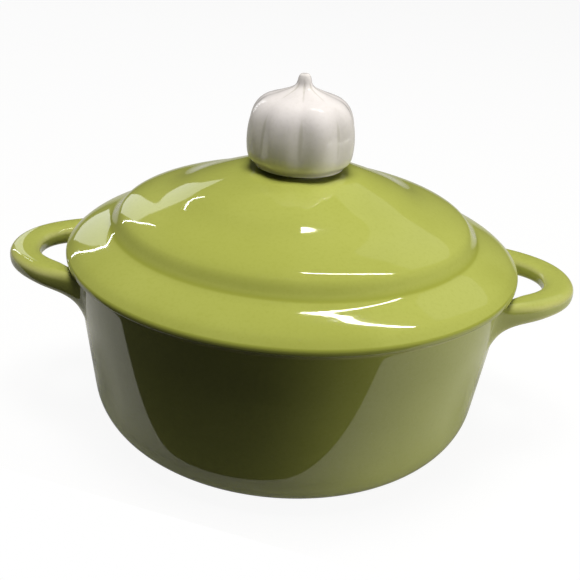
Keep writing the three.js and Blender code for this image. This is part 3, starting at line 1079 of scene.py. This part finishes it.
class BAKINGDISH_OT_stage(bpy.types.Operator):
    """Set up the pale floor, the lamps, the world and the camera"""

    bl_idname = "bakingdish.stage"
    bl_label = "Studio"

    def execute(self, context):
        self.floor(context)
        self.world(context)
        self.lamps()
        self.camera(context)
        context.scene.view_settings.view_transform = "Standard"
        return {"FINISHED"}

    def floor(self, context):
        """A pale table that ends a little in front of the dish."""
        clear_selection()
        bpy.ops.mesh.primitive_plane_add(size=2, location=(0, 0, 0))
        floor = begin("studio_floor")
        bpy.ops.transform.resize(value=(TABLE_WIDTH, 1, 1), center_override=(0, 0, 0))
        bpy.ops.transform.translate(value=TABLE_PLACE)
        bpy.ops.transform.rotate(value=math.radians(TABLE_TURN), orient_axis="Z", center_override=(0, 0, 0))
        bpy.ops.object.mode_set(mode="OBJECT")
        made = bpy.data.materials.new("studio_paper")
        tree = bare_tree(made)
        where = new_node(tree, "ShaderNodeTexCoord", (-600, 0)).outputs["Object"]
        light_path = new_node(tree, "ShaderNodeLightPath", (-400, 400)).outputs
        fibre = noise(tree, (-450, 0), where, scale=300, detail=2)
        fibre = scaled(tree, (-380, 100), between(tree, (-250, 0), fibre, low=0.2, high=0.9), share=0.3)
        tone = mixed(tree, (-300, 0), fibre, context.scene.dish_finishes.floor, PAPER_FIBRE)
        tone = mixed(tree, (-100, 0), light_path["Is Camera Ray"], tone, PAPER_WHITE)
        paper = new_node(tree, "ShaderNodeBsdfDiffuse", (0, 100))
        tree.links.new(tone, paper.inputs["Color"])
        white = new_node(tree, "ShaderNodeEmission", (0, -100))
        fill(white, Color=WHITE, Strength=1.0)
        mirrored = scaled(tree, (100, 200), light_path["Is Glossy Ray"], share=0.12)
        seen = scaled(tree, (100, 350), light_path["Is Camera Ray"], share=0.93)
        shown = maths(tree, "MAXIMUM", (250, 300), seen, mirrored)
        blend(tree, shown, paper, white, "ShaderNodeOutputMaterial")
        floor.data.materials.append(made)

    def world(self, context):
        """A white backdrop for the camera, and a dim even room for the object."""
        made = bpy.data.worlds.new("studio")
        context.scene.world = made
        tree = bare_tree(made)
        room = new_node(tree, "ShaderNodeBackground", (0, 100))
        fill(room, Color=(*WARM, 1), Strength=ROOM_LIGHT)
        white = new_node(tree, "ShaderNodeBackground", (0, -100))
        fill(white, Color=WHITE, Strength=1.0)
        light_path = new_node(tree, "ShaderNodeLightPath", (0, 400))
        blend(tree, light_path.outputs["Is Camera Ray"], room, white, "ShaderNodeOutputWorld")

    def lamps(self):
        """Soft rectangular lamps; those that are mirrored show in the glaze."""
        for name, (place, aim, size, power, tint, mirrored, turn) in LAMPS.items():
            clear_selection()
            bpy.ops.object.light_add(type="AREA", location=place)
            lamp = bpy.context.object
            lamp.name = name
            if aim:
                lamp.rotation_euler = (Vector(aim) - Vector(place)).to_track_quat("-Z", "Y").to_euler()
            if turn:
                lamp.rotation_euler.rotate_axis("Z", math.radians(turn))
            lamp.data.shape = "RECTANGLE"
            lamp.data.size, lamp.data.size_y = size
            lamp.data.energy = power
            lamp.data.color = tint
            lamp.visible_glossy = mirrored
            lamp.visible_camera = False

    def camera(self, context):
        """A near camera, a little above the dish and turned about its own axis."""
        elevation, azimuth, roll = (math.radians(angle) for angle in CAMERA_ANGLES)
        offset = Vector(PICTURE_SHIFT) / PICTURE_LENS
        back = Vector(
            (
                math.sin(azimuth) * math.cos(elevation),
                -math.cos(azimuth) * math.cos(elevation),
                math.sin(elevation),
            )
        )
        right = Vector((math.cos(azimuth), math.sin(azimuth), 0))
        up = back.cross(right)
        right, up = (
            right * math.cos(roll) + up * math.sin(roll),
            up * math.cos(roll) - right * math.sin(roll),
        )
        towards = (back + right * offset.x + up * offset.y).normalized()
        right = (right - towards * right.dot(towards)).normalized()
        up = towards.cross(right)
        clear_selection()
        bpy.ops.object.camera_add(location=Vector(CAMERA_AIM) + back * CAMERA_DISTANCE)
        camera = bpy.context.object
        camera.rotation_euler = Matrix((right, up, towards)).transposed().to_euler()
        camera.data.sensor_width = SENSOR_WIDTH
        camera.data.lens = PICTURE_LENS / PICTURE_SIDE * SENSOR_WIDTH
        camera.data.clip_start = 0.01
        context.scene.camera = camera


# Parts of the panel: label, name of the settings in the scene, their class, and the operators.
SECTIONS = (
    ("Dish", "dish_sizes", DishSizes, (BAKINGDISH_OT_dish,)),
    ("Ear handles", "handle_sizes", HandleSizes, (BAKINGDISH_OT_handles,)),
    ("Lid", "lid_sizes", LidSizes, (BAKINGDISH_OT_lid,)),
    ("Knob", "knob_sizes", KnobSizes, (BAKINGDISH_OT_knob, BAKINGDISH_OT_fixing)),
    ("Finishes", "dish_finishes", Finishes, (BAKINGDISH_OT_stage,)),
)


class BAKINGDISH_PT_panel(bpy.types.Panel):
    """Lists the pieces of the baking dish"""

    bl_label = "Covered Baking Dish"
    bl_idname = "BAKINGDISH_PT_panel"
    bl_space_type = "VIEW_3D"
    bl_region_type = "UI"
    bl_category = "Baking Dish"

    def draw(self, context):
        for label, settings, group, operators in SECTIONS:
            box = self.layout.box()
            box.label(text=label)
            for name in group.__annotations__:
                box.prop(getattr(context.scene, settings), name)
            for operator in operators:
                box.operator(operator.bl_idname)


def register():
    for _, settings, group, operators in SECTIONS:
        for item in (group, *operators):
            bpy.utils.register_class(item)
        setattr(bpy.types.Scene, settings, PointerProperty(type=group))
    bpy.utils.register_class(BAKINGDISH_PT_panel)


def unregister():
    bpy.utils.unregister_class(BAKINGDISH_PT_panel)
    for _, settings, group, operators in reversed(SECTIONS):
        delattr(bpy.types.Scene, settings)
        for item in (*operators, group):
            bpy.utils.unregister_class(item)


def main():
    register()
    bpy.ops.bakingdish.dish()
    bpy.ops.bakingdish.handles()
    bpy.ops.bakingdish.lid()
    bpy.ops.bakingdish.knob()
    bpy.ops.bakingdish.fixing()
    bpy.ops.bakingdish.stage()


if __name__ == "__main__":
    main()
